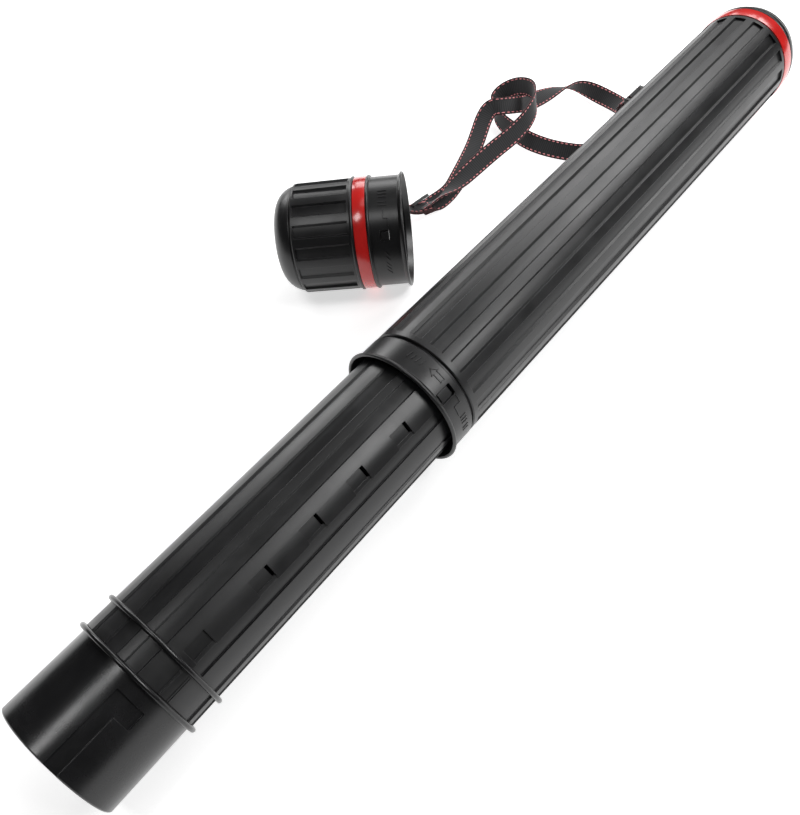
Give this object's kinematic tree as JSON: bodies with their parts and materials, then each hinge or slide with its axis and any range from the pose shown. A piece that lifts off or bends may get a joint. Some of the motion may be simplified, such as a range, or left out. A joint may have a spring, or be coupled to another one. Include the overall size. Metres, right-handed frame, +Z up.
{
  "type": "telescoping drawing tube",
  "caption": "Telescoping round carrying tube for rolled drawings, with a twist lock, an open neck, a separate bayonet cap and a webbing strap.",
  "frame": {"origin": "centre of the open mouth of the neck, on the tube's axis", "axes": "+X along the tube from the mouth to the closed end, +Z up from the surface that the tube lies on, +Y to the side where the strap and the cap lie"},
  "size_m": [0.819, 0.2652, 0.095],
  "materials": {
    "tube_black": "satin black moulded plastic with soft broad highlights",
    "fitting_black": "semi-gloss black plastic",
    "neck_gloss": "smooth glossy black plastic",
    "lug_black": "black nylon",
    "accent_red": "glossy red plastic",
    "webbing": "ribbed black webbing with red edges and stitching",
    "slider_grey": "dark grey plastic",
    "rivet_steel": "blackened rivet heads"
  },
  "bodies": {
    "outer": {"outer_tube": "tube_black", "mouth_collar": "fitting_black", "lock_key": "fitting_black", "end_accent_ring": "accent_red", "closed_end": "fitting_black", "tube_strap_lug": "lug_black", "tube_lug_rivets": "rivet_steel"},
    "slider": {"guide_ring": "lug_black"},
    "inner": {"inner_tube": "tube_black", "neck": "neck_gloss", "cap_stop_ring": "neck_gloss", "travel_stop_ring": "tube_black", "guide_retainer": "lug_black"},
    "strap": {"strap_tube_loop": "webbing", "strap_upper_strand": "webbing", "strap_lower_strand": "webbing", "strap_slider": "slider_grey", "strap_cap_loop": "webbing"},
    "cap": {"cap_crown": "tube_black", "cap_accent_ring": "accent_red", "cap_skirt": "fitting_black", "cap_bayonet_key": "fitting_black", "cap_strap_lug": "lug_black"}
  },
  "joints": [
    {"name": "tube_slide", "type": "slide", "parent": "outer", "child": "slider", "axis": [1, 0, 0], "range_m": [-0.162, 0.206]},
    {"name": "tube_twist", "type": "hinge", "parent": "slider", "child": "inner", "pos_m": [0, 0, 0], "axis": [1, 0, 0], "range_deg": [0, 15]},
    {"name": "strap_swing", "type": "hinge", "parent": "outer", "child": "strap", "pos_m": [0.685, 0.05194, 0.00564], "axis": [1, 0, 0], "range_deg": [0, 70]},
    {"name": "cap_swing", "type": "hinge", "parent": "strap", "child": "cap", "pos_m": [0.45994, 0.15796, -0.02193], "axis": [-0.6414, 0.7672, 0], "range_deg": [0, 60]}
  ]
}
